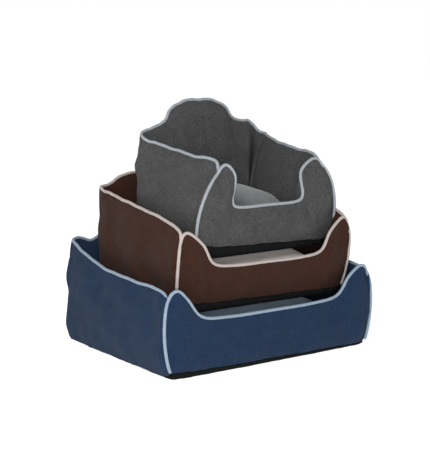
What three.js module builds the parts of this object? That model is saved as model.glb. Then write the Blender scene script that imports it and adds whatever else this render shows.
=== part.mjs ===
// Pet cushion bed: three beds of one design, each nested on the cushion of the next larger one.
// Millimetres, +Z up, the low entrances face -Y, the large bed stands on z = 0.
import * as THREE from "three";

const CLOTH = 1.2; // thickness of one cover cloth
const GAP = 0.4; // air between pieces that touch
const PIPING_R = 3.6; // corded piping
const SEAM_DROP = 5; // the panels end this far under the centre of the piping
const HEM_Z = 16; // the base cloth wraps up to here
const FLOOR_Z = 13; // top of the padded floor
const FRONT_SEAM = 5; // station of the piped front corner, counted from the middle of the entrance
const BACK_SEAM = 11; // station of the plain back corner
const STATIONS = 32; // stations round one bed
const CENTRE_Y = -9.245; // puts the origin under the middle of the whole stack
const HOLLOW_CORNER = 0.15; // radius of the inner corners, as a share of the hollow's half width
const OUTER_ROWS = [0, 0.33, 0.67, 1]; // heights of the cloth rows, as a share of the panel
const INNER_ROWS = [0, 0.25, 0.55, 1];

// Every bed is a band of stuffed wall that rises from a rounded foot to a piped rim.
// "rim" heights run from the entrance over the lobe and the side to the scalloped back.
const LARGE = {
  name: "large",
  at: [0, 0, 0],
  yaw: 0,
  foot: { x: 328, front: 280, back: 287 },
  hollow: { x: 274, front: 228, back: 237 },
  front: 271,
  back: 286,
  entrance: { z: 139, x: 226, endZ: 151 },
  slope: { x: 271, z: 200 },
  lobe: { x: 306, z: 228 },
  shoulder: { x: 328, z: 222, y: 3 },
  join: { x: 330, z: 223, y: 37 },
  side: { x: 330, z: [228, 235, 254] },
  corner: { x: 311, z: [278, 285, 287] },
  dip: { x: 230, z: 277 },
  scallop: { x: [158, 74, 0], z: [326, 334, 337] },
  bulge: { front: 6, cornerX: 19, cornerY: 4, side: 20, back: 16, inside: 0 },
  cushion: { x: 268, front: 222, back: 231, top: 145.6, seam: 66 },
  cloth: 0x2b3c58,
  piping: 0x9bafc3,
  seat: 0x8d9aa8,
};

const MEDIUM = {
  name: "medium",
  at: [14, -13, 146],
  yaw: -1,
  foot: { x: 276, front: 203, back: 229 },
  hollow: { x: 226, front: 182, back: 184 },
  front: 220,
  back: 229,
  entrance: { z: 117, x: 178, endZ: 130 },
  slope: { x: 214, z: 180 },
  lobe: { x: 256, z: 216 },
  shoulder: { x: 274, z: 208, y: 3 },
  join: { x: 271, z: 224, y: 24 },
  side: { x: 275, z: [250, 264, 279] },
  corner: { x: 272, z: [287, 294, 297] },
  dip: { x: 194, z: 318 },
  scallop: { x: [112, 56, 0], z: [333, 343, 347] },
  bulge: { front: 8, cornerX: 10, cornerY: 10, side: 13, back: 12, inside: 0 },
  cushion: { x: 214, front: 176, back: 173, top: 135.6, seam: 62 },
  cloth: 0x3e2b24,
  piping: 0xc8beb9,
  seat: 0xa59b96,
};

const SMALL = {
  name: "small",
  at: [26, -32, 282],
  yaw: 2,
  foot: { x: 225, front: 168, back: 141 },
  hollow: { x: 145, front: 116, back: 104 },
  front: 176,
  back: 141,
  entrance: { z: 130, x: 119, endZ: 149 },
  slope: { x: 108, z: 204 },
  lobe: { x: 153, z: 248 },
  shoulder: { x: 171, z: 239, y: 2 },
  join: { x: 166, z: 255, y: 22 },
  side: { x: 187, z: [264, 275, 289] },
  corner: { x: 214, z: [298, 312, 322] },
  dip: { x: 126, z: 350 },
  scallop: { x: [95, 50, 0], z: [379, 396, 400] },
  bulge: { front: 9, cornerX: 34, cornerY: 10, side: 28, back: 16, inside: 32 },
  cushion: { x: 130, front: 108, back: 94, top: 150, seam: 66 },
  cloth: 0x505050,
  piping: 0xafb4b9,
  seat: 0x7d8282,
};

const V = (x, y, z) => new THREE.Vector3(x, y, z);

const across = (p) => V(-p.x, p.y, p.z);
const spline = (points, closed) => new THREE.CatmullRomCurve3(points, closed, "catmullrom", 0.5);

// A closed curve through the left half and its mirror image; whole numbers are the stations.
function ring(half) {
  const curve = spline([...half, ...half.slice(1, -1).reverse().map(across)], true);
  return (u) => curve.getPoint((((u % STATIONS) + STATIONS) % STATIONS) / STATIONS);
}

// The top seam. In front it runs over the entrance and both lobes and on down the corners;
// at the shoulder of each lobe the rim of the side and back walls joins it.
function rimOf(b) {
  const f = -b.front;
  const depth = b.front + b.back;
  const sideX = b.join.x + (b.side.x - b.join.x) * 0.8;
  const shoulder = V(-b.shoulder.x, f + b.shoulder.y, b.shoulder.z);
  const frontHalf = [
    V(-b.entrance.x * 0.52, f, b.entrance.z + 1),
    V(-b.entrance.x, f, b.entrance.endZ),
    V(-b.slope.x, f, b.slope.z),
    V(-b.lobe.x, f, b.lobe.z),
    shoulder,
    shoulder.clone().add(V(-b.bulge.cornerX * 0.5 - 12, 0, -50)),
  ];
  const centre = V(0, f, b.entrance.z);
  const front = spline([...frontHalf.map(across).reverse(), centre, ...frontHalf], false);
  const rearHalf = [
    shoulder,
    V(-b.join.x, f + b.join.y, b.join.z),
    V(-sideX, f + depth * 0.3, b.side.z[0]),
    V(-b.side.x, f + depth * 0.53, b.side.z[1]),
    V(-(b.side.x + b.corner.x) / 2, f + depth * 0.76, b.side.z[2]),
    V(-b.corner.x, b.back - 42, b.corner.z[0]),
    V(-b.corner.x + 10, b.back - 10, b.corner.z[1]),
    V(-b.corner.x + 42, b.back, b.corner.z[2]),
    V(-b.dip.x, b.back, b.dip.z),
    V(-b.scallop.x[0], b.back, b.scallop.z[0]),
    V(-b.scallop.x[1], b.back, b.scallop.z[1]),
    V(-b.scallop.x[2], b.back, b.scallop.z[2]),
  ];
  const rear = spline([...rearHalf, ...rearHalf.slice(0, -1).reverse().map(across)], false);
  return (u) => {
    const s = ((u + FRONT_SEAM + STATIONS) % STATIONS) - FRONT_SEAM;
    if (s <= FRONT_SEAM) {
      return front.getPoint((s + FRONT_SEAM + 1) / (2 * FRONT_SEAM + 2));
    }
    return rear.getPoint((s - FRONT_SEAM) / (STATIONS - 2 * FRONT_SEAM));
  };
}

// The foot of the wall: a rounded rectangle with its corners at the two seams.
function footOf(size, z, cornerR) {
  const { x, front, back } = size;
  const r = cornerR;
  const depth = front + back;
  return ring([
    V(0, -front - 4, z),
    V(-x * 0.33, -front - 4, z),
    V(-x * 0.64, -front - 3, z),
    V(-x * 0.79, -front - 2, z),
    V(-x + r, -front - 1, z),
    V(-x, -front + r * 0.3, z),
    V(-x - 4, -front + r * 1.3, z),
    V(-x - 5, -front + depth * 0.33, z),
    V(-x - 5, -front + depth * 0.55, z),
    V(-x - 4, -front + depth * 0.76, z),
    V(-x, back - r * 1.3, z),
    V(-x + r * 0.4, back - r * 0.4, z),
    V(-x + r * 1.3, back, z),
    V(-x * 0.64, back + 3, z),
    V(-x * 0.42, back + 4, z),
    V(-x * 0.22, back + 4, z),
    V(0, back + 4, z),
  ]);
}

// How far the stuffing pushes the outer skin out at half its height.
function pushOf({ front, cornerX, cornerY, side, back }) {
  const flat = (x, y) => V(x, y, 0);
  return ring([
    ...Array.from({ length: 4 }, () => flat(0, -front)),
    flat(-cornerX * 0.4, -front),
    flat(-cornerX, -cornerY),
    ...Array.from({ length: 3 }, () => flat(-side, 0)),
    flat(-side * 0.8, 0),
    flat(-side * 0.5, back * 0.2),
    flat(-side * 0.3, back * 0.5),
    flat(-side * 0.1, back * 0.8),
    ...Array.from({ length: 4 }, () => flat(0, back)),
  ]);
}

// The same for the inner skin, as a share of the bed's own swelling: most along the sides.
const INSIDE_SHARES = [
  ...Array.from({ length: 4 }, () => [0, -0.3]),
  [-0.1, -0.3],
  [-0.2, -0.25],
  [-0.5, -0.05],
  [-0.9, 0],
  [-1, 0],
  [-0.8, 0],
  [-0.5, 0.1],
  [-0.3, 0.3],
  [-0.1, 0.45],
  ...Array.from({ length: 4 }, () => [0, 0.55]),
];

const pullOf = (inside) => ring(INSIDE_SHARES.map(([x, y]) => V(x * inside, y * inside, 0)));

// Everything the wall needs: its outer and inner skin at station u and height share v.
function wallOf(b) {
  const rim = rimOf(b);
  const foot = footOf(b.foot, HEM_Z + GAP, 30);
  const hollow = footOf(b.hollow, 2.2, b.hollow.x * HOLLOW_CORNER);
  const push = pushOf(b.bulge);
  const pull = pullOf(b.bulge.inside);
  const outward = (u) => {
    const t = foot(u + 0.05).sub(foot(u - 0.05));
    return V(-t.y, t.x, 0).normalize();
  };
  const inward = (u) => hollow(u).sub(foot(u)).setZ(0).normalize();
  // Beside the entrance the inner skin turns towards it: it stays upright under a rim that
  // leans over, and its cloth has its thickness at a slant.
  const beside = (u) => {
    const s = ((u + STATIONS / 2) % STATIONS) - STATIONS / 2;
    return -Math.sign(s) * Math.max(0, 1 - Math.abs(Math.abs(s) - 2.8) / 1.3);
  };
  const lean = Math.max(0, b.entrance.x - b.slope.x) * 1.5;
  const upright = (u) => V(lean * beside(u), 0, 0);
  const aside = (u) => outward(u).add(V(beside(u), 0, 0)).normalize();
  // The panels stop under the piping, measured square to the seam.
  const fromShoulder = (u) => Math.min(Math.abs(Math.abs(u) - 5), Math.abs(u - 27));
  const panelTop = (u, drop) => {
    const along = rim(u + 0.02).sub(rim(u - 0.02));
    const down = fromShoulder(u) < 0.02 ? V(0, 0, -1) : outward(u).cross(along).normalize();
    return rim(u).addScaledVector(down, drop);
  };
  const seamHalf = CLOTH + 0.35;
  const outerRow = (u, v) =>
    foot(u)
      .lerp(panelTop(u, SEAM_DROP).addScaledVector(outward(u), seamHalf), v)
      .addScaledVector(push(u), 4 * v * (1 - v));
  const innerRow = (u, v) => {
    const drop = SEAM_DROP + 6 * Math.max(0, 1 - fromShoulder(u) / 0.3);
    return hollow(u)
      .lerp(panelTop(u, drop).addScaledVector(outward(u), -seamHalf).add(upright(u)), v)
      .addScaledVector(pull(u), -4 * v * (1 - v));
  };
  const outer = faceted(outerRow, OUTER_ROWS);
  const inner = faceted(innerRow, INNER_ROWS);
  return { rim, foot, hollow, outward, inward, aside, outer, inner };
}

// The same skin, straight from one row of the panel to the next.
function faceted(skin, rows) {
  return (u, v) => {
    const next = Math.max(rows.findIndex((r) => r >= v), 1);
    const [low, high] = [rows[next - 1], rows[next]];
    return skin(u, low).lerp(skin(u, high), (v - low) / (high - low));
  };
}

// A closed solid between two grids of points that face each other.
function slab(front, back) {
  const cols = front.length;
  const rows = front[0].length;
  const position = [];
  const index = [];
  for (const grid of [front, back]) {
    for (const column of grid) column.forEach((p) => position.push(p.x, p.y, p.z));
  }
  const at = (side, c, r) => (side * cols + c) * rows + r;
  const quad = (a, b, c, d) => index.push(a, b, c, a, c, d);
  for (let c = 0; c < cols - 1; c++) {
    for (let r = 0; r < rows - 1; r++) {
      quad(at(0, c, r), at(0, c + 1, r), at(0, c + 1, r + 1), at(0, c, r + 1));
      quad(at(1, c, r), at(1, c, r + 1), at(1, c + 1, r + 1), at(1, c + 1, r));
    }
    quad(at(0, c, 0), at(1, c, 0), at(1, c + 1, 0), at(0, c + 1, 0));
    quad(at(0, c, rows - 1), at(0, c + 1, rows - 1), at(1, c + 1, rows - 1), at(1, c, rows - 1));
  }
  for (let r = 0; r < rows - 1; r++) {
    quad(at(0, 0, r), at(0, 0, r + 1), at(1, 0, r + 1), at(1, 0, r));
    quad(at(0, cols - 1, r), at(1, cols - 1, r), at(1, cols - 1, r + 1), at(0, cols - 1, r + 1));
  }
  return solid(position, index);
}

// A closed solid from a stack of loops, pinched to a point at each end.
function stack(loops, first, last) {
  const n = loops[0].length;
  const position = [first.x, first.y, first.z];
  const index = [];
  for (const loop of loops) loop.forEach((p) => position.push(p.x, p.y, p.z));
  position.push(last.x, last.y, last.z);
  const end = position.length / 3 - 1;
  const at = (k, i) => 1 + k * n + (i % n);
  for (let i = 0; i < n; i++) {
    index.push(0, at(0, i + 1), at(0, i));
    index.push(end, at(loops.length - 1, i), at(loops.length - 1, i + 1));
    for (let k = 0; k < loops.length - 1; k++) {
      index.push(at(k, i), at(k, i + 1), at(k + 1, i + 1));
      index.push(at(k, i), at(k + 1, i + 1), at(k + 1, i));
    }
  }
  return solid(position, index);
}

// Turns the faces outwards and works out the normals.
function solid(position, index) {
  const p = (i) => V(...position.slice(3 * i, 3 * i + 3));
  let volume = 0;
  for (let i = 0; i < index.length; i += 3) {
    volume += p(index[i]).dot(p(index[i + 1]).cross(p(index[i + 2])));
  }
  if (volume < 0) {
    index.reverse();
  }
  const g = new THREE.BufferGeometry();
  g.setAttribute("position", new THREE.Float32BufferAttribute(position, 3));
  g.setIndex(index);
  g.computeVertexNormals();
  return g;
}

// A path that runs straight from point to point, so a cord passes through each of them.
class Through extends THREE.Curve {
  constructor(points) {
    super();
    this.points = points;
  }
  getPoint(t) {
    const s = Math.min(Math.max(t, 0), 1) * (this.points.length - 1);
    const i = Math.min(Math.floor(s), this.points.length - 2);
    return this.points[i].clone().lerp(this.points[i + 1], s - i);
  }
  getUtoTmapping(u) {
    return u;
  }
}

function cord(points) {
  const shape = new THREE.Shape(
    Array.from({ length: 6 }, (_, i) => {
      const a = (i * Math.PI) / 3;
      return new THREE.Vector2(PIPING_R * Math.cos(a), PIPING_R * Math.sin(a));
    }),
  );
  const extrudePath = new Through(points);
  return new THREE.ExtrudeGeometry(shape, { steps: points.length - 1, extrudePath });
}

// Stations of the four walls, closer together where the rim turns.
const FRONT_STEPS = [0, 1, 1.5, 2, 2.5, 3, 3.5, 4, 4.5];
const SIDE_STEPS = [5.5, 6, 7, 8, 9, 9.5, 10, 10.5];
const BACK_STEPS = [11.5, 12, 12.5, 13, 13.5, 14, 15, 16];
const mirrored = (list, axis) => list.map((u) => 2 * axis - u).reverse();

function stationsOf(wall, seamGap) {
  const inFront = [...mirrored(FRONT_STEPS.slice(1), 0), ...FRONT_STEPS];
  const inBack = [...BACK_STEPS, ...mirrored(BACK_STEPS.slice(0, -1), 16)];
  const left = [FRONT_SEAM + seamGap, ...SIDE_STEPS, BACK_SEAM - 0.02];
  return {
    front: [-FRONT_SEAM + seamGap, ...inFront, FRONT_SEAM - seamGap],
    left,
    back: [BACK_SEAM + 0.02, ...inBack, STATIONS - BACK_SEAM - 0.02],
    right: mirrored(left, 16),
  }[wall];
}

const grid = (stations, column) => stations.map(column);

function outerPanel(wall, stations) {
  const skin = (off) => (u) =>
    OUTER_ROWS.map((v) => wall.outer(u, v).addScaledVector(wall.outward(u), off));
  return slab(grid(stations, skin(0)), grid(stations, skin(-CLOTH)));
}

function innerPanel(wall, stations) {
  const skin = (off) => (u) =>
    INNER_ROWS.map((v) => wall.inner(u, v).addScaledVector(wall.aside(u), off));
  return slab(grid(stations, skin(CLOTH)), grid(stations, skin(0)));
}

// The stuffing fills the wedge between the two skins and tucks into the base cloth.
function filling(wall, stations) {
  const column = (skin, rows, away, off) => (u) =>
    rows.map((v) => skin(u, v).addScaledVector(away(u), off(v)));
  const behindOuter = () => -CLOTH - 3;
  const behindInner = (v) => CLOTH + 3 + 6 * v;
  const outside = grid(stations, (u) => {
    const tuck = wall.foot(u).addScaledVector(wall.inward(u), 14.5).setZ(2.4);
    const rows = [0.02, 0.33, 0.67, 0.7];
    return [tuck, ...column(wall.outer, rows, wall.outward, behindOuter)(u)];
  });
  const rows = [0, 0.12, 0.25, 0.55, 0.68];
  const inside = grid(stations, column(wall.inner, rows, wall.aside, behindInner));
  return slab(outside, inside);
}

function frontPiping(wall) {
  const corner = (u) =>
    [0.04, 0.33, 0.67, 0.92].map((v) =>
      wall.outer(u, v).addScaledVector(wall.outward(u), 2.6),
    );
  const half = [...FRONT_STEPS, FRONT_SEAM - 0.15, FRONT_SEAM];
  const rim = [...mirrored(half.slice(1), 0), ...half].map(wall.rim);
  return cord([...corner(-FRONT_SEAM), ...rim, ...corner(FRONT_SEAM).reverse()]);
}

function rimPiping(wall) {
  const left = [FRONT_SEAM + 0.55, ...SIDE_STEPS.slice(1), BACK_SEAM, ...BACK_STEPS];
  return cord([...left, ...mirrored(left.slice(0, -1), 16)].map(wall.rim));
}

// Loops round the foot, moved inwards and set to a height.
function loopAt(wall, curve, inset, z) {
  const half = [...FRONT_STEPS, FRONT_SEAM, ...SIDE_STEPS, BACK_SEAM, ...BACK_STEPS];
  const all = [...half, ...mirrored(half.slice(1, -1), 16)];
  return all.map((u) => {
    const p = curve(u).addScaledVector(wall.inward(u), inset);
    return p.setZ(z);
  });
}

// The base cloth is a shallow tray: flat underneath, turned up to the hem all round.
function baseCloth(wall) {
  const t = 1.8;
  const turn = 10;
  const loops = [
    loopAt(wall, wall.foot, turn, 0),
    loopAt(wall, wall.foot, 0, HEM_Z),
    loopAt(wall, wall.foot, t, HEM_Z),
    loopAt(wall, wall.foot, turn + t, t),
  ];
  return stack(loops, V(0, 0, 0), V(0, 0, t));
}

function floorPad(wall) {
  const loops = [loopAt(wall, wall.hollow, 5, 2.2), loopAt(wall, wall.hollow, 5, FLOOR_Z)];
  return stack(loops, V(0, 0, 2.2), V(0, 0, FLOOR_Z));
}

// A cushion outline: a rectangle with well rounded corners.
function outline(c, share, inset, z) {
  return Array.from({ length: 24 }, (_, i) => {
    const a = ((i + 0.5) / 24) * 2 * Math.PI;
    const soft = (s) => Math.sign(s) * Math.abs(s) ** 0.5;
    const half = (c.front + c.back) / 2;
    const x = (c.x * share - inset) * soft(Math.cos(a));
    const y = (half * share - inset) * soft(Math.sin(a)) + (c.back - c.front) / 2;
    return V(x, y, z);
  });
}

// Share of the outline against share of the height, from the edge seam to the plateau.
const CROWN = [
  [1, 0],
  [0.97, 0.5],
  [0.88, 0.85],
  [0.7, 1],
];

function crown(c, from, to, inset) {
  return CROWN.map(([share, rise]) => outline(c, share, inset, from + (to - from) * rise));
}

function cover(c, from, to) {
  const t = Math.sign(to - from) * CLOTH;
  const mid = (c.back - c.front) / 2;
  const outside = crown(c, from, to, 0);
  const inside = crown(c, from, to - t, CLOTH);
  return stack([...outside.reverse(), ...inside], V(0, mid, to), V(0, mid, to - t));
}

function cushionFilling(c, bottom) {
  const inset = CLOTH + GAP;
  const mid = (c.back - c.front) / 2;
  const top = crown(c, c.seam, c.top - inset, inset);
  const under = crown(c, c.seam, bottom + inset, inset).slice(1);
  return stack([...under.reverse(), ...top], V(0, mid, bottom + inset), V(0, mid, c.top - inset));
}

function piece(name, geometry, color, roughness) {
  const material = new THREE.MeshStandardMaterial({ color, roughness, metalness: 0 });
  const mesh = new THREE.Mesh(geometry, material);
  mesh.name = name;
  return mesh;
}

const BASE_COLOUR = 0x232628;
const FILLING_COLOUR = 0xe9e8e4;

function bed(b) {
  const wall = wallOf(b);
  const group = new THREE.Group();
  group.name = b.name + "_bed";
  group.position.set(...b.at);
  group.rotation.z = THREE.MathUtils.degToRad(b.yaw);
  const add = (name, geometry, color, roughness = 0.95) =>
    group.add(piece(b.name + "_" + name, geometry, color, roughness));

  add("base_cloth", baseCloth(wall), BASE_COLOUR, 0.9);
  add("floor_pad", floorPad(wall), b.cloth);
  for (const side of ["front", "left", "back", "right"]) {
    add(side + "_outer_panel", outerPanel(wall, stationsOf(side, 0.15)), b.cloth);
    add(side + "_inner_panel", innerPanel(wall, stationsOf(side, 0.01)), b.cloth);
    add(side + "_wall_filling", filling(wall, stationsOf(side, 0.09)), FILLING_COLOUR, 1);
  }
  add("front_piping", frontPiping(wall), b.piping, 0.85);
  add("rim_piping", rimPiping(wall), b.piping, 0.85);

  const c = b.cushion;
  const bottom = FLOOR_Z + GAP;
  add("cushion_top_cover", cover(c, c.seam + GAP, c.top), b.seat);
  add("cushion_bottom_cover", cover(c, c.seam - GAP, bottom), b.seat);
  add("cushion_filling", cushionFilling(c, bottom), FILLING_COLOUR, 1);
  return group;
}

const root = new THREE.Group();
root.name = "pet_cushion_bed";
root.position.y = CENTRE_Y;
for (const size of [LARGE, MEDIUM, SMALL]) {
  root.add(bed(size));
}

export default root;
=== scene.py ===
import math

import bmesh
import bpy
import numpy as np
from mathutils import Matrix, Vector


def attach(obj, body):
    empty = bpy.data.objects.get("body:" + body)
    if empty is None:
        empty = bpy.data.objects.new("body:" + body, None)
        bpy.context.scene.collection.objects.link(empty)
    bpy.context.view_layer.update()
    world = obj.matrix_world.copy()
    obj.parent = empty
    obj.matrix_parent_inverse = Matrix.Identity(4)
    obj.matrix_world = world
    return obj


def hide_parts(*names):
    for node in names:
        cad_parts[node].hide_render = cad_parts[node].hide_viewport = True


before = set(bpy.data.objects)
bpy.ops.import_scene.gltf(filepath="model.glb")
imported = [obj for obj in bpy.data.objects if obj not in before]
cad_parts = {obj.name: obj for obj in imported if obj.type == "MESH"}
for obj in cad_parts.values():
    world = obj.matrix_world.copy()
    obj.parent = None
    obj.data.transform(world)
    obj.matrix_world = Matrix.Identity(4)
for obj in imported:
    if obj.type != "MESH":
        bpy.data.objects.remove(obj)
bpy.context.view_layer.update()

PIPING_R = 4.2
HEM_Z = 16.0
HOLLOW_Z = 4.0
FLOOR_Z = 13.0
CENTRE_Y = -9.245

# Stations round a bed: 0 is the middle of the front, 16 the middle of the back, left side first.
STATIONS = 32
HALF = STATIONS // 2
FRONT_SEAM = 5
BACK_SEAM = 11
FRONT_CORNER_R = 30
HOLLOW_CORNER = 0.15

# Half the gap between the two skins at the rim, and how far they end under it.
RIM_HALF = 1.7
RIM_DROP = 2.6
SWELL_POWER = 0.72
OUTER_DENT = 3.5
INNER_DENT = 26

# Meshing and cloth simulation.
HEM_ROWS = 2
WALL_STEP = 6.5
CORD_STEP = 3.5
OUTER_ROOM = 0.009
CLOTH_FRAMES = 16
CALM_PASSES = 10

# Relief of the outer skin: depth, spacing or length, and how far it reaches from its seam.
LUMPS = ((4.6, 0, 120), (2.2, 4, 52))
SIDE_FOLD = dict(deep=8.5, apart=52, reach=46)
LOBE_FOLD = dict(deep=5.5, apart=41, reach=90)
HEM_GATHER = dict(deep=3.6, apart=37, reach=26)

BEDS = {
    "large": dict(
        at=(0, 0, 0),
        yaw=0,
        foot=(328, 280, 287),
        hollow=(274, 228, 237),
        front=271,
        back=286,
        entrance=(139, 222, 151),
        slope=(265, 200),
        lobe=(309, 227),
        shoulder=(333, 206, 3),
        join=(330, 223, 37),
        side=(330, (228, 235, 254)),
        corner=(311, (278, 285, 287)),
        dip=(230, 277),
        scallop=((158, 74, 0), (326, 334, 337)),
        bulge=dict(front=6, cx=19, cy=4, side=20, back=16, inside=0),
        level=0.62,
        flare=-14,
        wide_left=12,
        lean_right=0,
        humps=(),
        puff=2,
        inner_room=0.003,
        lobe_sink=(10, 0.9),
        hem=dict(side=4, left=19, right=6, tuck=5),
        cushion=dict(x=268, front=222, back=231, top=145.6, seam=66, tilt=0),
    ),
    "medium": dict(
        at=(14, -13, 146),
        yaw=-1,
        foot=(276, 203, 229),
        hollow=(213, 180, 182),
        front=220,
        back=229,
        entrance=(117, 183, 130),
        slope=(214, 180),
        lobe=(259, 217),
        shoulder=(277, 194, 3),
        join=(271, 224, 24),
        side=(275, (250, 264, 279)),
        corner=(272, (287, 294, 297)),
        dip=(194, 318),
        scallop=((112, 56, 0), (333, 343, 347)),
        bulge=dict(front=8, cx=10, cy=10, side=13, back=12, inside=16),
        level=0.66,
        flare=-10,
        wide_left=-4,
        lean_right=0,
        humps=(),
        puff=2,
        inner_room=0.003,
        lobe_sink=(5, 0.35),
        hem=dict(side=13, left=27, right=14, tuck=4),
        cushion=dict(x=214, front=176, back=173, top=140, seam=66, tilt=0),
    ),
    "small": dict(
        at=(26, -32, 282),
        yaw=2,
        foot=(225, 168, 141),
        hollow=(145, 116, 104),
        front=176,
        back=141,
        entrance=(130, 119, 149),
        slope=(109, 212),
        lobe=(148, 246),
        shoulder=(173, 225, 2),
        join=(166, 255, 22),
        side=(187, (264, 275, 289)),
        corner=(214, (298, 312, 322)),
        dip=(122, 340),
        scallop=((98, 52, 0), (375, 397, 400)),
        bulge=dict(front=9, cx=34, cy=10, side=28, back=16, inside=32),
        level=0.8,
        flare=8,
        wide_left=9,
        lean_right=17,
        humps=((18.9, 6, 0.7), (20.2, 15, 0.6), (21.5, -6, 0.35)),
        puff=9,
        inner_room=0.009,
        lobe_sink=(5, 0.35),
        hem=dict(side=16, left=37, right=12, tuck=6),
        cushion=dict(x=134, front=112, back=96, top=166, seam=70, tilt=22),
    ),
}


# ---------------------------------------------------------------- curves
def spline(points, closed):
    """Catmull-Rom through the points, which are at the whole numbers of the parameter."""
    pts = np.array(points, float)
    if not closed:
        first = 2 * pts[0] - pts[1]
        last = 2 * pts[-1] - pts[-2]
        pts = np.vstack([first, pts, last])

    def at(u):
        u = np.atleast_1d(np.asarray(u, float))
        if closed:
            i = np.floor(u).astype(int)
            p = [pts[(i + k) % len(pts)] for k in (-1, 0, 1, 2)]
        else:
            i = np.clip(np.floor(u).astype(int), 0, len(pts) - 4)
            p = [pts[i + k] for k in (0, 1, 2, 3)]
        t = (u - i)[:, None]
        a = 2 * p[1]
        b = p[2] - p[0]
        c = 2 * p[0] - 5 * p[1] + 4 * p[2] - p[3]
        d = -p[0] + 3 * p[1] - 3 * p[2] + p[3]
        return 0.5 * (a + b * t + c * t * t + d * t**3)

    return at


def across(points):
    """The same points on the other side of the bed."""
    return [(-x, y, z) for x, y, z in points]


def ring(half):
    """A closed curve from its left half, front middle to back middle."""
    return spline(list(half) + across(half[1:-1][::-1]), True)


def rim_of(b):
    """The rim seam: entrance and lobes along the front, then the sides and the scalloped back."""
    f = -b["front"]
    depth = b["front"] + b["back"]
    back = b["back"]
    ez, ex, ee = b["entrance"]
    jx, jz, jy = b["join"]
    sx, sz = b["side"]
    cx, cz = b["corner"]
    kx, kz, ky = b["shoulder"]
    (s0, s1, s2), (z0, z1, z2) = b["scallop"]
    shoulder = (-kx, f + ky, kz)
    front_half = [
        (-ex * b["level"], f, ez + 1),
        (-ex, f, ee),
        (-b["slope"][0], f, b["slope"][1]),
        (-b["lobe"][0], f, b["lobe"][1]),
        shoulder,
        (-kx - b["flare"], f + ky, kz - 42),
    ]
    left_half = [(x - b["wide_left"], y, z) for x, y, z in front_half[:3]]
    left_half += front_half[3:]
    lean = b["lean_right"]
    shares = (0, 0, 0.1, 0.6, 1, 1)
    right_half = [(x + lean * k, y, z) for k, (x, y, z) in zip(shares, across(front_half))]
    front = spline(right_half[::-1] + [(0, f, ez)] + left_half, False)
    side_x = jx + (sx - jx) * 0.8
    rear_half = [
        shoulder,
        (-jx, f + jy, jz),
        (-side_x, f + depth * 0.3, sz[0]),
        (-sx, f + depth * 0.53, sz[1]),
        (-(sx + cx) / 2, f + depth * 0.76, sz[2]),
        (-cx, back - 42, cz[0]),
        (-cx + 10, back - 10, cz[1]),
        (-cx + 42, back, cz[2]),
        (-b["dip"][0], back, b["dip"][1]),
        (-s0, back, z0),
        (-s1, back, z1),
        (-s2, back, z2),
    ]
    rear_right = across(rear_half[:-1][::-1])
    ends = zip((0.7, 1), rear_right[-2:])
    rear_right[-2:] = [(x + lean * k, y, z) for k, (x, y, z) in ends]
    rear = spline(rear_half + rear_right, False)

    def at(u):
        s = (np.atleast_1d(u) + FRONT_SEAM + STATIONS) % STATIONS - FRONT_SEAM
        inside = s <= FRONT_SEAM
        p = np.where(inside[:, None], front(s + 6), rear(s - FRONT_SEAM))
        for station, height, width in b["humps"]:
            p[:, 2] += height * bell(s - station, width)
        return p

    return at


def foot_of(size, z, r):
    """A rounded outline on the ground: half width, front and back depth, height, corner radius."""
    x, front, back = size
    depth = front + back
    return ring(
        [
            (0, -front - 4, z),
            (-x * 0.33, -front - 4, z),
            (-x * 0.64, -front - 3, z),
            (-x * 0.79, -front - 2, z),
            (-x + r, -front - 1, z),
            (-x, -front + r * 0.3, z),
            (-x - 4, -front + r * 1.3, z),
            (-x - 5, -front + depth * 0.33, z),
            (-x - 5, -front + depth * 0.55, z),
            (-x - 4, -front + depth * 0.76, z),
            (-x, back - r * 1.3, z),
            (-x + r * 0.4, back - r * 0.4, z),
            (-x + r * 1.3, back, z),
            (-x * 0.64, back + 3, z),
            (-x * 0.42, back + 4, z),
            (-x * 0.22, back + 4, z),
            (0, back + 4, z),
        ]
    )


def push_of(b):
    """How far the stuffing pushes the outer skin out, by station."""
    g = b["bulge"]
    front, side, back = g["front"], g["side"], g["back"]
    return ring(
        [(0, -front, 0)] * 4
        + [(-g["cx"] * 0.4, -front, 0), (-g["cx"], -g["cy"], 0)]
        + [(-side, 0, 0)] * 3
        + [(-side * 0.8, 0, 0), (-side * 0.5, back * 0.2, 0)]
        + [(-side * 0.3, back * 0.5, 0), (-side * 0.1, back * 0.8, 0)]
        + [(0, back, 0)] * 4
    )


def pull_of(inside):
    """How far the stuffing pushes the inner skin in: most along the sides."""
    shares = [(0, -0.3)] * 4
    shares += [(-0.1, -0.3), (-0.2, -0.25), (-0.5, -0.05), (-0.9, 0), (-1, 0)]
    shares += [(-0.8, 0), (-0.5, 0.1), (-0.3, 0.3), (-0.1, 0.45)]
    shares += [(0, 0.55)] * 4
    return ring([(x * inside, y * inside, 0) for x, y in shares])


def unit(v):
    """Rows scaled to length 1."""
    return v / np.maximum(np.linalg.norm(v, axis=-1, keepdims=True), 1e-9)


def ripple(x, seed, waves):
    """A smooth wandering line: sines of fixed phase, from -1 to 1."""
    rng = np.random.RandomState(seed)
    total = np.zeros_like(np.asarray(x, float))
    for length, size in waves:
        total += size * np.sin(2 * np.pi * x / length + rng.uniform(0, 6.28))
    return total


def waves(x, y, seed, length):
    """Smooth unevenness over a surface, from about -1 to 1."""
    rng = np.random.RandomState(seed)
    total = 0
    for _ in range(7):
        angle, phase = rng.uniform(0, np.pi), rng.uniform(0, 6.28)
        k = 2 * np.pi / (length * rng.uniform(0.7, 1.5))
        total = total + np.sin(k * (x * np.cos(angle) + y * np.sin(angle)) + phase)
    return total / 3.2


def valley(x, spacing):
    """Narrow folds at even spacing: 1 in the fold, 0 between."""
    return (1 - np.abs(np.sin(np.pi * x / spacing))) ** 2.2


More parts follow.
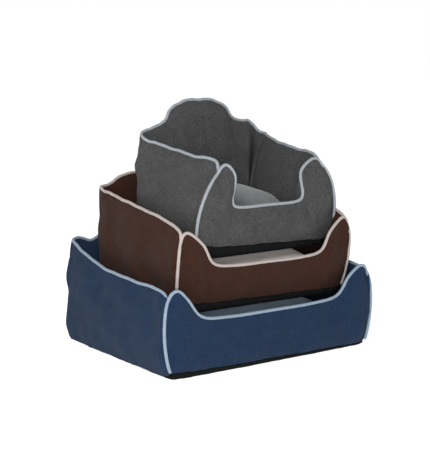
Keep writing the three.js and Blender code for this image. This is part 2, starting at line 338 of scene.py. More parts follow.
def bell(distance, width):
    """1 at no distance, falling off smoothly over the width."""
    return np.exp(-((distance / width) ** 2))


def fold(across_folds, from_edge, kind):
    """Depth of a set of folds that fade away from the edge they start at."""
    return kind["deep"] * valley(across_folds, kind["apart"]) * np.exp(-from_edge / kind["reach"])


def signed(u):
    """Station counted from the middle of the front, positive to the left."""
    return (np.atleast_1d(u) + HALF) % STATIONS - HALF


def swelling(v):
    """Share of the full bulge at a share of the height."""
    return (4 * v * (1 - v)) ** SWELL_POWER


class Wall:
    """The stuffed band of one bed: outer and inner skin by station u and height share v."""

    def __init__(self, name):
        b = BEDS[name]
        self.b = b
        self.name = name
        self.rim = rim_of(b)
        self.foot_line = foot_of(b["foot"], HEM_Z, FRONT_CORNER_R)
        self.hollow = foot_of(b["hollow"], HOLLOW_Z, b["hollow"][0] * HOLLOW_CORNER)
        self.push = push_of(b)
        self.pull = pull_of(b["bulge"]["inside"])
        self.seed = len(name)

    def outward(self, u):
        """Level direction away from the bed, square to its outline."""
        t = self.foot_line(u + 0.05) - self.foot_line(u - 0.05)
        return unit(np.stack([-t[:, 1], t[:, 0], 0 * t[:, 0]], 1))

    def foot(self, u):
        """The hem: hitched up along the front, tucked under at the right front corner."""
        hem = self.b["hem"]
        p = self.foot_line(u)
        s = signed(u)
        in_front = np.clip(FRONT_SEAM + 1 - np.abs(s), 0, 1)
        along = np.clip((FRONT_SEAM - s) / (2 * FRONT_SEAM), 0, 1)
        hitched = hem["left"] * (1 - along) + hem["right"] * along
        p[:, 2] = hem["side"] + in_front * (hitched - hem["side"])
        tuck = hem["tuck"] * bell(s + 5.2, 0.8)
        p[:, 2] += tuck + ripple(s, self.seed, [(1.9, 0.7), (0.83, 0.5), (0.31, 0.4)])
        return p - self.outward(u) * (tuck * 0.8)[:, None]

    def relief(self, u, v):
        """Unevenness of the outer skin: lumps of stuffing, folds under the rim, a gathered hem."""
        s = signed(u)
        off_centre = np.abs(s)
        v = np.atleast_1d(v)
        b = self.b
        front_step = 2 * b["foot"][0] / (2 * FRONT_SEAM)
        side_step = (b["front"] + b["back"]) / (BACK_SEAM - FRONT_SEAM)
        x = s * np.where(off_centre < FRONT_SEAM, front_step, side_step)
        tall = self.rim(u)[:, 2]
        z = v * tall
        under = tall - z
        lump = sum(deep * waves(x, z, self.seed + k, length) for deep, k, length in LUMPS)
        slant = np.abs(x) * 0.45 - under * 0.9 + 9 * waves(x, z, self.seed + 2, 160)
        on_side = np.clip((off_centre - 6.2) / 1.2, 0, 1)
        on_side = on_side * np.clip((BACK_SEAM - off_centre) / 0.6, 0, 1)
        folds = -fold(slant, under, SIDE_FOLD) * on_side
        ray = under * 0.9 + np.abs(x) * 0.35 + 6 * waves(x, z, self.seed + 3, 130)
        on_lobe = np.clip((off_centre - 3.4) / 0.8, 0, 1) * np.clip((5.2 - off_centre) / 0.4, 0, 1)
        folds -= fold(ray, under, LOBE_FOLD) * on_lobe
        gather = -fold(x + 7 * waves(x, z, self.seed + 5, 60), z, HEM_GATHER)
        held = np.clip(7 * v * (1 - v), 0, 1) ** 0.7 * (1 - bell(self.from_seam(u), 0.2))
        return (lump + folds + gather) * held

    def from_seam(self, u):
        """Stations to the nearest seam between two walls."""
        off_centre = np.abs(signed(u))
        return np.minimum(np.abs(off_centre - FRONT_SEAM), np.abs(off_centre - BACK_SEAM))

    def seam_dent(self, u, v):
        """Skins sink towards the seam where two walls are sewn together."""
        return bell(self.from_seam(u), 0.15) * np.clip(5 * v * (1 - v), 0, 1)

    def top(self, u, drop):
        """Just under the rim, square to it on the slopes and straight down at the shoulders."""
        u = np.atleast_1d(u)
        along = self.rim(u + 0.02) - self.rim(u - 0.02)
        down = unit(np.cross(self.outward(u), along))
        right_seam = STATIONS - FRONT_SEAM
        shoulder = np.minimum(np.abs(np.abs(u) - FRONT_SEAM), np.abs(u - right_seam))[:, None]
        k = np.clip(1 - shoulder / 0.35, 0, 1)
        down = unit(down * (1 - k) + np.array([0, 0, -1.0]) * k)
        return self.rim(u) + down * drop

    def outer(self, u, v):
        v = np.atleast_1d(v)[:, None]
        o = self.outward(u)
        low = self.foot(u)
        high = self.top(u, RIM_DROP) + o * RIM_HALF
        dent = OUTER_DENT * self.seam_dent(u, v[:, 0])[:, None]
        return low * (1 - v) + high * v + self.push(u) * swelling(v) - o * dent

    def inner(self, u, v):
        v = np.atleast_1d(v)[:, None]
        o = self.outward(u)
        low = self.hollow(u)
        high = self.top(u, RIM_DROP) - o * RIM_HALF
        swell = swelling(v)
        dent = INNER_DENT * self.seam_dent(u, v[:, 0])[:, None]
        puff = self.b["puff"] * bell(self.from_seam(u) - 0.7, 0.4)[:, None] * swell
        return low * (1 - v) + high * v - self.pull(u) * swell + o * (dent - puff)


# ---------------------------------------------------------------- meshes
def place(name, points):
    """From a bed's own millimetres to the shared frame in metres."""
    b = BEDS[name]
    a = math.radians(b["yaw"])
    p = np.asarray(points, float)
    x = p[:, 0] * math.cos(a) - p[:, 1] * math.sin(a) + b["at"][0]
    y = p[:, 0] * math.sin(a) + p[:, 1] * math.cos(a) + b["at"][1] + CENTRE_Y
    return np.stack([x, y, p[:, 2] + b["at"][2]], 1) / 1000


def mesh_object(name, points, faces, uv):
    """A smooth closed mesh that faces outwards, with cloth coordinates in metres."""
    me = bpy.data.meshes.new(name)
    me.from_pydata([tuple(p) for p in points], [], [tuple(f) for f in faces])
    layer = me.uv_layers.new(name="cloth")
    loops = np.empty(len(me.loops), np.int32)
    me.loops.foreach_get("vertex_index", loops)
    layer.data.foreach_set("uv", np.asarray(uv, np.float32)[loops].ravel())
    me.validate()
    ob = bpy.data.objects.new(name, me)
    bpy.context.collection.objects.link(ob)
    for p in me.polygons:
        p.use_smooth = True
    face_outwards(ob)
    return ob


def face_outwards(ob):
    bm = bmesh.new()
    bm.from_mesh(ob.data)
    bmesh.ops.recalc_face_normals(bm, faces=bm.faces)
    if bm.calc_volume(signed=True) < 0:
        bmesh.ops.reverse_faces(bm, faces=bm.faces)
    bm.to_mesh(ob.data)
    bm.free()


def apply_modifiers(ob):
    """Puts the result of the modifiers in the mesh."""
    dg = bpy.context.evaluated_depsgraph_get()
    me = bpy.data.meshes.new_from_object(ob.evaluated_get(dg))
    old = ob.data
    ob.modifiers.clear()
    ob.data = me
    bpy.data.meshes.remove(old)


def coords(ob):
    co = np.empty(len(ob.data.vertices) * 3, np.float32)
    ob.data.vertices.foreach_get("co", co)
    return co.reshape(-1, 3).astype(float)


def set_coords(ob, co):
    ob.data.vertices.foreach_set("co", np.asarray(co, np.float32).ravel())
    ob.data.update()


def calm(ob, move, pinned):
    """Evens out a movement over neighbouring points, which takes away small buckles."""
    edges = np.empty(len(ob.data.edges) * 2, np.int32)
    ob.data.edges.foreach_get("vertices", edges)
    a, b = edges.reshape(-1, 2).T
    size = len(move)
    count = np.bincount(edges, minlength=size)[:, None]
    for _ in range(CALM_PASSES):
        near = [np.bincount(a, m[b], size) + np.bincount(b, m[a], size) for m in move.T]
        move = 0.4 * move + 0.6 * np.stack(near, 1) / count
        move[pinned] = 0
    return move


def inflate(ob, pinned, cap, slack, pressure):
    """Stuffs a closed cover: slack cloth, pinned on its seams, pushed out from inside."""
    rest = coords(ob)
    group = ob.vertex_groups.new(name="pin")
    group.add([int(i) for i in pinned], 1.0, "REPLACE")
    m = ob.modifiers.new("cloth", "CLOTH")
    s = m.settings
    s.quality = 6
    s.mass = 0.25
    s.tension_stiffness = 18
    s.compression_stiffness = 12
    s.shear_stiffness = 8
    s.bending_stiffness = 2.5
    s.tension_damping = s.compression_damping = s.shear_damping = 12
    s.air_damping = 3
    s.use_pressure = True
    s.uniform_pressure_force = pressure
    s.shrink_min = -slack
    s.vertex_group_mass = "pin"
    s.effector_weights.gravity = 0
    m.collision_settings.use_collision = False
    m.collision_settings.use_self_collision = False
    m.point_cache.frame_start = 1
    m.point_cache.frame_end = CLOTH_FRAMES
    scene = bpy.context.scene
    for f in range(1, CLOTH_FRAMES + 1):
        scene.frame_set(f)
    dg = bpy.context.evaluated_depsgraph_get()
    stuffed = ob.evaluated_get(dg)
    co = np.empty(len(stuffed.data.vertices) * 3, np.float32)
    stuffed.data.vertices.foreach_get("co", co)
    move = calm(ob, co.reshape(-1, 3) - rest, pinned)
    length = np.linalg.norm(move, axis=1, keepdims=True)
    limit = np.asarray(cap)[:, None]
    move *= np.tanh(length / limit) * limit / np.maximum(length, 1e-9)
    ob.modifiers.clear()
    ob.vertex_groups.clear()
    set_coords(ob, rest + move)
    scene.frame_set(1)


def subdivide(ob):
    m = ob.modifiers.new("fine", "SUBSURF")
    m.levels = m.render_levels = 1
    m.boundary_smooth = "PRESERVE_CORNERS"
    apply_modifiers(ob)


def stations(wall, u0, u1, step):
    """Stations from seam to seam, evenly spaced along the cloth."""
    fine = np.linspace(u0, u1, 600)
    inside = fine[1:-1]
    lines = [wall.rim(inside), wall.outer(inside, np.full(len(inside), 0.5))]
    run = np.maximum(*[np.linalg.norm(np.diff(p, axis=0), axis=1) for p in lines])
    length = np.concatenate([[0], np.cumsum(run), [run.sum() + run[-1]]])
    count = max(6, int(round(length[-1] / step)))
    t = np.linspace(0, 1, count + 1)
    closer_at_ends = t - 0.55 * np.sin(2 * np.pi * t) / (2 * np.pi)
    return np.interp(closer_at_ends * length[-1], length, fine[: len(length)])


def heights(n):
    """Shares of the height, closer together at the hem and the rim."""
    k = np.linspace(0, 1, n + 1)
    return 0.45 * k + 0.55 * (0.5 - 0.5 * np.cos(np.pi * k))


def tuck_ends(grid, n_out, n_in):
    """Adds a column past each end, drawn in, so that neighbouring walls meet in a closed seam."""
    k = np.arange(len(grid))
    from_out = 2 + n_out + np.round((n_out + 1 - k) * (n_in - 1) / (n_out - 1))
    from_in = 2 + np.round((n_out + n_in + 1 - k) * (n_out - 1) / (n_in - 1))
    partner = np.where(k < n_out + 2, from_out, from_in)
    partner = np.where(k < 2, len(grid) - 1, partner).astype(int)
    ends = []
    for edge, near in ((0, 1), (-1, -2)):
        past = unit((grid[:, edge] - grid[:, near]).mean(0))
        core = (grid[partner, edge] - grid[:, edge]) * 0.35
        ends.append((grid[:, edge] + core + past * 7)[:, None])
    return np.concatenate([ends[0], grid, ends[1]], 1)


def add_relief(ob, wall, us, rows_out, rows_in):
    """Moves the stuffed skins by the relief: outwards in front, half as much inwards behind."""
    hem = np.zeros(HEM_ROWS)
    shares = np.concatenate([hem, rows_out, rows_in])
    gain = np.concatenate([hem, np.ones(len(rows_out)), np.full(len(rows_in), -0.5)])
    off = np.stack([wall.relief(us, np.full(len(us), v)) * k for v, k in zip(shares, gain)])
    move = wall.outward(us)[None] * off[:, :, None]
    turned = place(wall.name, move.reshape(-1, 3)) - place(wall.name, np.zeros((1, 3)))
    set_coords(ob, coords(ob) + turned)


def end_faces(at, n_out, n_in, columns):
    """Closes a wall at its two ends, straight across from the outer to the inner skin."""

    def across_from(k):
        return HEM_ROWS + n_out + round((n_out - 1 - k) * (n_in - 1) / (n_out - 1))

    faces = []
    for c in columns:
        for k in range(n_out - 1):
            outer = [at(HEM_ROWS + k, c), at(HEM_ROWS + 1 + k, c)]
            inner = [at(across_from(k + 1), c), at(across_from(k), c)]
            faces.append(tuple(dict.fromkeys(outer + inner)))
        faces.append((at(0, c), at(1, c), at(2, c), at(-1, c)))
    return faces


def stuffed_wall(wall, side, u0, u1):
    """One wall: outer skin up to the seam, inner skin down to the floor, closed all round."""
    us = stations(wall, u0 + 1e-4, u1 - 1e-4, WALL_STEP)
    rows_out = heights(26)
    rows_in = heights(24)[::-1]
    n_out, n_in = len(rows_out), len(rows_in)
    foot = wall.foot(us)
    o = wall.outward(us)
    lines = [foot - o * 12 + np.array([0, 0, 3.0]), foot - o * 4.5 + np.array([0, 0, -0.5])]
    lines += [wall.outer(us, np.full(len(us), v)) for v in rows_out]
    lines += [wall.inner(us, np.full(len(us), v)) for v in rows_in]
    grid = tuck_ends(np.stack(lines), n_out, n_in)
    rows, cols = grid.shape[:2]
    seam_row = HEM_ROWS + n_out - 1
    run = np.zeros((rows, cols))
    run[1:] = np.cumsum(np.linalg.norm(np.diff(grid, axis=0), axis=2), axis=0)
    rise = (run - run[seam_row]) / 1000
    middle = grid[HEM_ROWS + n_out // 2]
    steps = np.linalg.norm(np.diff(middle, axis=0), axis=1)
    along = np.concatenate([[0], np.cumsum(steps)]) / 1000
    uv = np.stack([np.broadcast_to(along, (rows, cols)), rise], 2).reshape(-1, 2)

    def at(r, c):
        return (r % rows) * cols + c

    faces = [
        (at(r, c), at(r, c + 1), at(r + 1, c + 1), at(r + 1, c))
        for r in range(rows)
        for c in range(cols - 1)
    ]
    faces += end_faces(at, n_out, n_in, (0, cols - 1))
    points = grid.reshape(-1, 3)
    ob = mesh_object(f"{wall.name}_{side}_wall", place(wall.name, points), faces, uv)
    r = np.repeat(np.arange(rows), cols)
    c = np.tile(np.arange(cols), rows)
    sewn = (r <= HEM_ROWS) | (r == seam_row) | (r == seam_row + 1) | (r == rows - 1)
    sewn |= (c <= 1) | (c >= cols - 2)
    column_u = np.concatenate([us[:1], us, us[-1:]])
    loose = np.clip(wall.from_seam(column_u) / 0.5, 0.2, 1)[c]
    room = np.where(r <= seam_row, OUTER_ROOM, wall.b["inner_room"])
    inflate(ob, np.nonzero(sewn)[0], room * loose, slack=0.014, pressure=4.0)
    add_relief(ob, wall, column_u, rows_out, rows_in)
    subdivide(ob)
    return ob


def bands(loops, n):
    """Faces between rings of n points, one ring after the other."""
    return [
        (r * n + c, r * n + (c + 1) % n, (r + 1) * n + (c + 1) % n, (r + 1) * n + c)
        for r in range(loops - 1)
        for c in range(n)
    ]


def tube(name, bed, points, radius):
    """A cord through the points, with its cloth laid on the bias."""
    sides = 12
    p = np.asarray(points, float)
    t = unit(np.gradient(p, axis=0))
    n = np.empty_like(p)
    start = np.cross(t[0], [0.0, 0.0, 1.0])
    if np.linalg.norm(start) < 0.3:
        start = np.cross(t[0], [0.0, 1.0, 0.0])
    n[0] = unit(start)
    for i in range(1, len(p)):
        n[i] = unit(n[i - 1] - t[i] * np.dot(n[i - 1], t[i]))
    side = np.cross(t, n)
    a = np.linspace(0, 2 * np.pi, sides, endpoint=False)
    length = np.concatenate([[0], np.cumsum(np.linalg.norm(np.diff(p, axis=0), axis=1))])
    r = radius * (1 + 0.035 * ripple(length, len(name), [(31, 1), (13, 0.6)]))
    spoke = np.cos(a)[None, :, None] * n[:, None] + np.sin(a)[None, :, None] * side[:, None]
    loops = p[:, None] + r[:, None, None] * spoke
    count = len(p)
    tips = [p[:1] - t[:1] * radius * 0.6, p[-1:] + t[-1:] * radius * 0.6]
    verts = np.vstack([loops.reshape(-1, 3)] + tips)
    girth = np.minimum(a, 2 * np.pi - a) * radius
    uv = np.stack([np.repeat(length, sides), np.tile(girth, count)], 1) / 1000
    uv = np.vstack([uv, uv[:1], uv[-1:]])
    faces = bands(count, sides)
    end = count * sides
    faces += [(end, (k + 1) % sides, k) for k in range(sides)]
    faces += [(end + 1, end - sides + k, end - sides + (k + 1) % sides) for k in range(sides)]
    return mesh_object(name, place(bed, verts), faces, uv)


def even(points, step):
    """The same line with its points an even step apart."""
    p = np.asarray(points, float)
    s = np.concatenate([[0], np.cumsum(np.linalg.norm(np.diff(p, axis=0), axis=1))])
    n = max(8, int(s[-1] / step))
    want = np.linspace(0, s[-1], n + 1)
    return np.stack([np.interp(want, s, p[:, k]) for k in range(3)], 1)


def smooth(points, times):
    """The same line with its kinks rounded off; the ends stay."""
    p = points.copy()
    for _ in range(times):
        p[1:-1] = 0.25 * p[:-2] + 0.5 * p[1:-1] + 0.25 * p[2:]
    return p


def piping(wall):
    """The cord round the front panel, and the cord along the side and back rim."""
    v = np.linspace(0.015, 0.97, 60)

    def corner(u):
        uu = np.full(len(v), float(u))
        proud = 3.0 * np.clip((1 - v) / 0.2, 0, 1)[:, None]
        return wall.outer(uu, v) + wall.outward(uu) * proud

    top = wall.rim(np.linspace(-FRONT_SEAM, FRONT_SEAM, 400))
    front = np.vstack([corner(-FRONT_SEAM), top, corner(FRONT_SEAM)[::-1]])
    front = smooth(even(front, CORD_STEP), 5)
    right_seam = STATIONS - FRONT_SEAM
    u = np.linspace(FRONT_SEAM + 0.02, right_seam - 0.02, 900)
    rear = wall.rim(u)
    from_lobe = np.minimum(u - FRONT_SEAM, right_seam - u)
    deep, reach = wall.b["lobe_sink"]
    rear[:, 2] -= deep * bell(from_lobe, reach)
    rear -= wall.outward(u) * (5 * bell(from_lobe, 0.25))[:, None]
    rear[:, 2] += ripple(np.cumsum(np.full(len(u), 1.8)), wall.seed, [(95, 0.9), (48, 0.6)])
    rear = smooth(even(rear, CORD_STEP), 3)
    out = []
    for label, path in (("front", front), ("rim", rear)):
        ob = tube(f"{wall.name}_{label}_cord", wall.name, path, PIPING_R)
        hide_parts(f"{wall.name}_{label}_piping")
        out.append(ob)
    return out


def closed_stack(name, bed, loops, low, high, rise):
    """Rings stacked from the underside up, closed by a fan to a middle point at each end.

    The cloth lies flat, and is counted on by rise times the height where it turns up.
    """
    n = len(loops[0])
    verts = np.vstack(loops + [np.array([[0, 0, low]]), np.array([[0, 0, high]])])
    faces = bands(len(loops), n)
    last = (len(loops) - 1) * n
    middle = len(loops) * n
    for c in range(n):
        d = (c + 1) % n
        faces.append((middle, d, c))
        faces.append((middle + 1, last + c, last + d))
    uv = (verts[:, :2] + rise * verts[:, 2:]) / 1000
    return mesh_object(name, place(bed, verts), faces, uv)


def base_cloth(wall):
    """Dark cloth under the bed: flat, then turned up to the hem with soft folds."""
    u = np.linspace(0, STATIONS, 420, endpoint=False)
    o = wall.outward(u)
    foot = wall.foot(u)
    hem = foot[:, 2]
    folds = ripple(u, 3, [(1.3, 1.2), (0.61, 0.9), (0.27, 0.6)])[:, None]
    flat = [(150, 0), (60, 0), (18, 0), (8, 0.4), (3.6 - 0.6 * folds, 1.4)]
    turned_up = [(2.4 - folds, 0.5), (2.6 - 0.7 * folds, 0.85), (4.5, 1.25)]
    loops = []
    for inset, z in flat:
        loops.append(foot - o * inset)
        loops[-1][:, 2] = z
    for inset, share in turned_up:
        loops.append(foot - o * inset)
        loops[-1][:, 2] = hem * share
    inner = foot - o * 14
    inner[:, 2] = HOLLOW_Z
    loops.append(inner)
    ob = closed_stack(f"{wall.name}_underside", wall.name, loops, 0.0, 3.0, 1)
    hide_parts(f"{wall.name}_base_cloth")
    return ob


def pillow_grid(cx, front, back, power, n):
    """A square grid bent to a rounded-rectangle outline, by its own share from the middle."""
    g = np.linspace(-1, 1, n)
    x, y = np.meshgrid(g, g, indexing="ij")
    edge = np.maximum(np.abs(x), np.abs(y))
    angle = np.arctan2(y, x)
    square = 1 / np.maximum(np.abs(np.cos(angle)), np.abs(np.sin(angle)))
    rounded = np.abs(np.cos(angle)) ** power + np.abs(np.sin(angle)) ** power
    rounded = rounded ** (-1 / power)
    k = 1 + (rounded / square - 1) * edge**2
    half = (front + back) / 2
    return x * k * cx, y * k * half + (back - front) / 2, edge


def pillow(bed):
    """A stuffed cushion: two covers joined at the edge seam, flat where it rests."""
    c = BEDS[bed]["cushion"]
    front, back, seam = c["front"], c["back"], c["seam"]
    top = c["top"] - 2
    bottom = FLOOR_Z + 0.6
    n = 65
    x, y, edge = pillow_grid(c["x"], front, back, 8.0, n)
    crown = (1 - edge**3.2) ** 0.55
    droop = c["tilt"] * (y / (front + back))
    lump = 1.6 * waves(x, y, len(bed), 90)
    stitched = 3.2 * bell(edge - 0.8, 0.022)
    upper = seam + (top - seam + droop + lump - stitched) * crown
    lower = seam - (seam - bottom) * (1 - edge**5) ** 0.5
    pts = [np.stack([x, y, upper], 2).reshape(-1, 3), np.stack([x, y, lower], 2).reshape(-1, 3)]
    index = np.arange(n * n).reshape(n, n)
    low = index + n * n
    rim_mask = np.zeros((n, n), bool)
    rim_mask[0] = rim_mask[-1] = rim_mask[:, 0] = rim_mask[:, -1] = True
    low[rim_mask] = index[rim_mask]
    faces = []
    for i in range(n - 1):
        for j in range(n - 1):
            top_face = (index[i, j], index[i + 1, j], index[i + 1, j + 1], index[i, j + 1])
            under_face = (low[i, j], low[i, j + 1], low[i + 1, j + 1], low[i + 1, j])
            faces += [top_face, under_face]
    verts = np.vstack(pts)
    keep = np.ones(len(verts), bool)
    keep[n * n + index[rim_mask]] = False
    new = np.cumsum(keep) - 1
    faces = [tuple(int(new[k]) for k in f) for f in faces]
    verts = verts[keep]
    uv = verts[:, :2] / 1000
    ob = mesh_object(f"{bed}_cushion", place(bed, verts), faces, uv)
    held = np.nonzero(verts[:, 2] <= bottom + 1.0)[0]
    inflate(ob, held, np.full(len(verts), 0.006), slack=0.015, pressure=3.0)
    subdivide(ob)
    return ob


def floor_pad(wall):
    """The thin padded floor inside the walls."""
    u = np.linspace(0, STATIONS, 160, endpoint=False)
    o = wall.outward(u)
    hollow = wall.hollow(u)
    loops = []
    for inset, z in ((14, 3.2), (6, 3.4), (4.5, 6), (5, 10), (9, 12.4), (40, 12.8)):
        loops.append(hollow - o * inset)
        loops[-1][:, 2] = z
    ob = closed_stack(f"{wall.name}_floor", wall.name, loops, 3.2, 12.8, 0)
    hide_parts(f"{wall.name}_floor_pad")
    return ob


# ---------------------------------------------------------------- materials
class Nodes:
    """Short names for the shader nodes that the cloths share."""

    def __init__(self, name):
        self.mat = bpy.data.materials.new(name)
        self.mat.use_nodes = True
        self.tree = self.mat.node_tree
        self.shader = self.tree.nodes["Principled BSDF"]

    def add(self, kind, **values):
        node = self.tree.nodes.new(kind)
        for key, value in values.items():
            if key in node.inputs.keys():
                node.inputs[key].default_value = value
            else:
                setattr(node, key, value)
        return node

    def link(self, a, b):
        self.tree.links.new(a, b)

    def cloth_uv(self, scale):
        uv = self.add("ShaderNodeUVMap", uv_map="cloth")
        m = self.add("ShaderNodeMapping")
        m.inputs["Scale"].default_value = scale
        self.link(uv.outputs["UV"], m.inputs["Vector"])
        return m.outputs["Vector"]

    def noise(self, vector, scale, detail=3.0, rough=0.6):
        n = self.add("ShaderNodeTexNoise", Scale=scale, Detail=detail, Roughness=rough)
        self.link(vector, n.inputs["Vector"])
        return n.outputs["Fac"]

    def wave(self, vector, scale, direction, distortion=0.0):
        w = self.add("ShaderNodeTexWave", wave_type="BANDS", bands_direction=direction)
        w.inputs["Scale"].default_value = scale
        w.inputs["Distortion"].default_value = distortion
        self.link(vector, w.inputs["Vector"])
        return w.outputs["Fac"]

    def math(self, op, a, b):
        m = self.add("ShaderNodeMath", operation=op)
        for socket, value in ((m.inputs[0], a), (m.inputs[1], b)):
            if isinstance(value, (int, float)):
                socket.default_value = value
            else:
                self.link(value, socket)
        return m.outputs[0]

    def ramp(self, value, stops):
        r = self.add("ShaderNodeValToRGB")
        e = r.color_ramp.elements
        while len(e) < len(stops):
            e.new(0.5)
        for item, (pos, col) in zip(e, stops):
            item.position = pos
            item.color = (*col, 1)
        self.link(value, r.inputs["Fac"])
        return r.outputs["Color"]

    def bump(self, height, strength, distance):
        b = self.add("ShaderNodeBump", Strength=strength, Distance=distance)
        self.link(height, b.inputs["Height"])
        self.link(b.outputs["Normal"], self.shader.inputs["Normal"])


def srgb(r, g, b):
    """A colour in 0 to 255, as light."""

    def light(c):
        return ((c / 255 + 0.055) / 1.055) ** 2.4 if c > 10 else c / 255 / 12.92

    return light(r), light(g), light(b)


def shade(col, k):
    return tuple(min(1.0, c * k) for c in col)


def woven(name, col, contrast):
    """Plain weave of slubby yarn: streaks along both threads over a fine basket of bumps."""
    n = Nodes(name)
    base = n.cloth_uv((1, 1, 1))
    warp = n.noise(n.cloth_uv((520, 45, 1)), 1.0, 3.0)
    weft = n.noise(n.cloth_uv((45, 520, 1)), 1.0, 3.0)
    cloud = n.noise(base, 22.0, 3.0)
    fleck = n.noise(base, 230.0, 3.0, 0.75)
    threads = n.math("ADD", n.math("MULTIPLY", warp, 0.25), n.math("MULTIPLY", weft, 0.25))
    mix = n.math("ADD", threads, n.math("MULTIPLY", fleck, 0.40))
    mix = n.math("ADD", mix, n.math("MULTIPLY", cloud, 0.10))
    dark, light = shade(col, 1 - contrast), shade(col, 1 + contrast * 1.5)
    stops = [(0.5 - 0.13, dark), (0.5, col), (0.5 + 0.13, light)]
    n.link(n.ramp(mix, stops), n.shader.inputs["Base Color"])
    over = n.wave(base, 330.0, "X", 0.6)
    under = n.wave(base, 330.0, "Y", 0.6)
    relief = n.math("ADD", n.math("MULTIPLY", over, under), n.math("MULTIPLY", mix, 1.2))
    n.bump(relief, 0.55, 0.0006)
    n.shader.inputs["Roughness"].default_value = 0.92
    n.shader.inputs["Specular IOR Level"].default_value = 0.08
    n.shader.inputs["Sheen Weight"].default_value = 0.035
    n.shader.inputs["Sheen Roughness"].default_value = 0.55
    return n.mat


def twill(name, col):
    """Bias-cut piping cloth: slanting ribs that run round the cord."""
    n = Nodes(name)
    uv = n.cloth_uv((1, 1, 1))
    slant = n.add("ShaderNodeMapping")
    slant.inputs["Rotation"].default_value = (0, 0, math.radians(38))
    n.link(uv, slant.inputs["Vector"])
    ribs = n.wave(slant.outputs["Vector"], 150.0, "X", 1.6)
    fleck = n.noise(uv, 520.0, 3.0)
    drift = n.noise(uv, 60.0, 2.0)
    mix = n.math("ADD", n.math("MULTIPLY", ribs, 0.38), n.math("MULTIPLY", fleck, 0.42))
    mix = n.math("ADD", mix, n.math("MULTIPLY", drift, 0.20))
    stops = [(0.28, shade(col, 0.66)), (0.5, col), (0.75, shade(col, 1.22))]
    n.link(n.ramp(mix, stops), n.shader.inputs["Base Color"])
    n.bump(mix, 0.6, 0.0007)
    n.shader.inputs["Roughness"].default_value = 0.8
    n.shader.inputs["Specular IOR Level"].default_value = 0.25
    n.shader.inputs["Sheen Weight"].default_value = 0.15
    return n.mat


def brushed(name, col):
    """Soft seat cloth with a short nap."""
    n = Nodes(name)
    base = n.cloth_uv((1, 1, 1))
    nap = n.noise(n.cloth_uv((1, 3, 1)), 160.0, 4.0, 0.7)
    cloud = n.noise(base, 22.0, 3.0)
    mix = n.math("ADD", n.math("MULTIPLY", nap, 0.7), n.math("MULTIPLY", cloud, 0.3))
    stops = [(0.34, shade(col, 0.72)), (0.5, col), (0.68, shade(col, 1.22))]
    n.link(n.ramp(mix, stops), n.shader.inputs["Base Color"])
    n.bump(nap, 0.7, 0.0011)
    n.shader.inputs["Roughness"].default_value = 0.95
    n.shader.inputs["Specular IOR Level"].default_value = 0.12
    n.shader.inputs["Sheen Weight"].default_value = 0.35
    return n.mat


def grip_cloth(name, col):
    """Coarse dark cloth with small raised dots."""
    n = Nodes(name)
    base = n.cloth_uv((1, 1, 1))
    dots = n.add("ShaderNodeTexVoronoi", Scale=260.0, Randomness=0.15)
    n.link(base, dots.inputs["Vector"])
    fleck = n.noise(base, 240.0, 3.0)
    raised = n.math("MULTIPLY", dots.outputs["Distance"], 0.6)
    mix = n.math("ADD", raised, n.math("MULTIPLY", fleck, 0.5))
    stops = [(0.25, shade(col, 1.5)), (0.55, col), (0.8, shade(col, 0.6))]
    n.link(n.ramp(mix, stops), n.shader.inputs["Base Color"])
    n.bump(mix, 0.6, 0.0008)
    n.shader.inputs["Roughness"].default_value = 0.9
    n.shader.inputs["Specular IOR Level"].default_value = 0.1
    return n.mat


CLOTHS = {
    "large": dict(
        shell=("navy", srgb(25, 42, 65), 0.42),
        cord=("light_blue", srgb(128, 144, 160)),
        seat=srgb(136, 156, 176),
    ),
    "medium": dict(
        shell=("brown", srgb(50, 29, 21), 0.38),
        cord=("beige", srgb(164, 154, 149)),
        seat=srgb(216, 207, 201),
    ),
    "small": dict(
        shell=("grey", srgb(63, 63, 63), 0.55),
        cord=("light_grey", srgb(138, 143, 148)),
        seat=srgb(112, 115, 116),
    ),
}
GRIP = srgb(13, 14, 15)


def paint(ob, mat):
    ob.data.materials.clear()
    ob.data.materials.append(mat)


# ---------------------------------------------------------------- the beds
WALLS = (("front", -5, 5), ("left", 5, 11), ("back", 11, 21), ("right", 21, 27))


def make_bed(name):
    wall = Wall(name)
    cloth = CLOTHS[name]
    hue, col, contrast = cloth["shell"]
    cord_hue, cord_col = cloth["cord"]
    shell = woven(f"{hue}_weave", col, contrast)
    bias = twill(f"{cord_hue}_bias", cord_col)
    nap = brushed(f"{hue}_seat", cloth["seat"])
    grip = grip_cloth(f"{name}_grip", GRIP)
    body = f"{name}_bed"
    for side, u0, u1 in WALLS:
        ob = stuffed_wall(wall, side, u0, u1)
        paint(ob, shell)
        n = f"{name}_{side}_"
        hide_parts(n + "outer_panel", n + "inner_panel", n + "wall_filling")
        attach(ob, body)
    for ob in piping(wall):
        paint(ob, bias)
        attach(ob, body)
    ob = base_cloth(wall)
    paint(ob, grip)
    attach(ob, body)
    ob = floor_pad(wall)
    paint(ob, shell)
    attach(ob, body)
    ob = pillow(name)
    paint(ob, nap)
    n = f"{name}_cushion_"
    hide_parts(n + "top_cover", n + "bottom_cover", n + "filling")
    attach(ob, f"{name}_cushion")


for bed in BEDS:
    make_bed(bed)


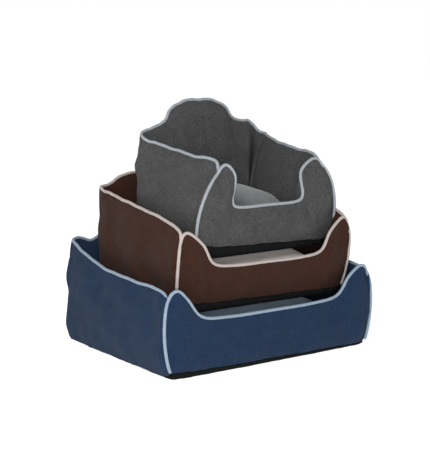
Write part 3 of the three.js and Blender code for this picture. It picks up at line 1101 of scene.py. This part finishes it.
# ---------------------------------------------------------------- studio
def pale_floor():
    me = bpy.data.meshes.new("floor")
    corners = [(-30, -30, 0), (30, -30, 0), (30, 30, 0), (-30, 30, 0)]
    me.from_pydata(corners, [], [(0, 1, 2, 3)])
    floor = bpy.data.objects.new("studio_floor", me)
    bpy.context.collection.objects.link(floor)
    n = Nodes("pale_floor")
    grain = n.add("ShaderNodeTexNoise", Scale=3.0, Detail=2.0)
    stops = [(0.3, (0.93, 0.93, 0.93)), (0.7, (0.95, 0.95, 0.95))]
    n.link(n.ramp(grain.outputs["Fac"], stops), n.shader.inputs["Base Color"])
    n.shader.inputs["Roughness"].default_value = 0.9
    n.shader.inputs["Emission Color"].default_value = (1, 1, 1, 1)
    n.shader.inputs["Emission Strength"].default_value = 0.6
    me.materials.append(n.mat)


def white_room():
    """A soft even glow that looks plain white where the camera sees past the floor."""
    world = bpy.data.worlds.new("studio")
    bpy.context.scene.world = world
    world.use_nodes = True
    tree = world.node_tree
    glow = tree.nodes["Background"]
    glow.inputs["Color"].default_value = (1, 1, 1, 1)
    glow.inputs["Strength"].default_value = 0.46
    backdrop = tree.nodes.new("ShaderNodeBackground")
    backdrop.inputs["Color"].default_value = (1, 1, 1, 1)
    seen = tree.nodes.new("ShaderNodeLightPath")
    mix = tree.nodes.new("ShaderNodeMixShader")
    tree.links.new(seen.outputs["Is Camera Ray"], mix.inputs[0])
    tree.links.new(glow.outputs[0], mix.inputs[1])
    tree.links.new(backdrop.outputs[0], mix.inputs[2])
    tree.links.new(mix.outputs[0], tree.nodes["World Output"].inputs["Surface"])


def lamp(name, at, size, power):
    """A round soft light aimed at the middle of the stack."""
    light = bpy.data.lights.new(name, "AREA")
    light.shape = "DISK"
    light.size = size
    light.energy = power
    ob = bpy.data.objects.new(name, light)
    ob.location = at
    direction = Vector((0, 0, 0.3)) - Vector(at)
    ob.rotation_euler = direction.to_track_quat("-Z", "Y").to_euler()
    bpy.context.collection.objects.link(ob)


def camera():
    cam = bpy.data.cameras.new("camera")
    cam.sensor_width = 36
    cam.lens = 88.54
    ob = bpy.data.objects.new("camera", cam)
    yaw, pitch = math.radians(35.67), math.radians(8.99)
    ob.location = (-1.8905, -2.6450, 0.8146)
    ob.rotation_euler = (math.pi / 2 - pitch, 0, -yaw)
    bpy.context.collection.objects.link(ob)
    bpy.context.scene.camera = ob


pale_floor()
white_room()
lamp("key", (-2.3, -2.1, 2.2), 1.2, 74)
lamp("fill", (-1.8, -2.8, 0.7), 0.9, 36)
camera()
bpy.context.scene.view_settings.view_transform = "Standard"
